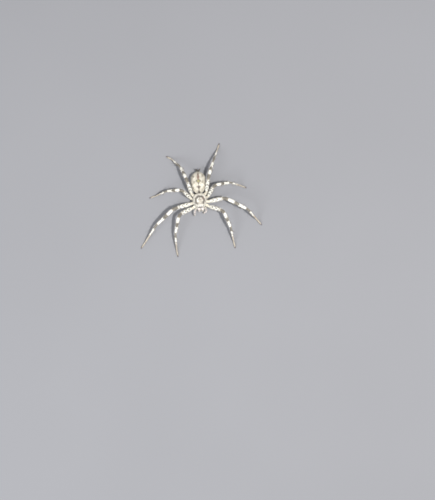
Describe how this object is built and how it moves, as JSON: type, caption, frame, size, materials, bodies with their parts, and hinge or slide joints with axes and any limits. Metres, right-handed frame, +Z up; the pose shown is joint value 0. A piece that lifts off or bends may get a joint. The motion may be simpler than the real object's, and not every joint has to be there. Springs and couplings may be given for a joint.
{
  "type": "huntsman spider",
  "caption": "Still life-size huntsman spider, flat-bodied with laterally spread banded legs, resting on its feet.",
  "frame": {"origin": "centre of the part's box in plan, at the level of the soles", "axes": "+Z up; the head points roughly along -Y and the abdomen along +Y; the spider's own left legs reach to +X, across the widest spread of the legs"},
  "size_m": [0.0674, 0.0632, 0.0117],
  "materials": {
    "carapace": "satin, downy",
    "abdomen": "matt, downy",
    "underside": "matt",
    "leg": "satin, banded, downy",
    "palp": "satin, downy",
    "chelicera": "satin, downy",
    "fang": "glossy dark horn",
    "eye": "glossy black",
    "spinneret": "matt, bristly"
  },
  "bodies": {
    "root": {"abdomen": "abdomen", "carapace": "carapace", "chelicera_left": "chelicera", "chelicera_right": "chelicera", "eye_front_lateral_left": "eye", "eye_front_lateral_right": "eye", "eye_front_median_left": "eye", "eye_front_median_right": "eye", "eye_rear_lateral_left": "eye", "eye_rear_lateral_right": "eye", "eye_rear_median_left": "eye", "eye_rear_median_right": "eye", "fang_left": "fang", "fang_right": "fang", "labium": "underside", "leg_1_left_coxa": "leg", "leg_1_left_femur": "leg", "leg_1_left_tarsus": "leg", "leg_1_left_tibia": "leg", "leg_1_right_coxa": "leg", "leg_1_right_femur": "leg", "leg_1_right_tarsus": "leg", "leg_1_right_tibia": "leg", "leg_2_left_coxa": "leg", "leg_2_left_femur": "leg", "leg_2_left_tarsus": "leg", "leg_2_left_tibia": "leg", "leg_2_right_coxa": "leg", "leg_2_right_femur": "leg", "leg_2_right_tarsus": "leg", "leg_2_right_tibia": "leg", "leg_3_left_coxa": "leg", "leg_3_left_femur": "leg", "leg_3_left_tarsus": "leg", "leg_3_left_tibia": "leg", "leg_3_right_coxa": "leg", "leg_3_right_femur": "leg", "leg_3_right_tarsus": "leg", "leg_3_right_tibia": "leg", "leg_4_left_coxa": "leg", "leg_4_left_femur": "leg", "leg_4_left_tarsus": "leg", "leg_4_left_tibia": "leg", "leg_4_right_coxa": "leg", "leg_4_right_femur": "leg", "leg_4_right_tarsus": "leg", "leg_4_right_tibia": "leg", "maxilla_left": "underside", "maxilla_right": "underside", "palp_left_femur": "palp", "palp_left_tarsus": "palp", "palp_right_femur": "palp", "palp_right_tarsus": "palp", "pedicel": "underside", "spinnerets": "spinneret", "sternum": "underside"}
  },
  "joints": []
}
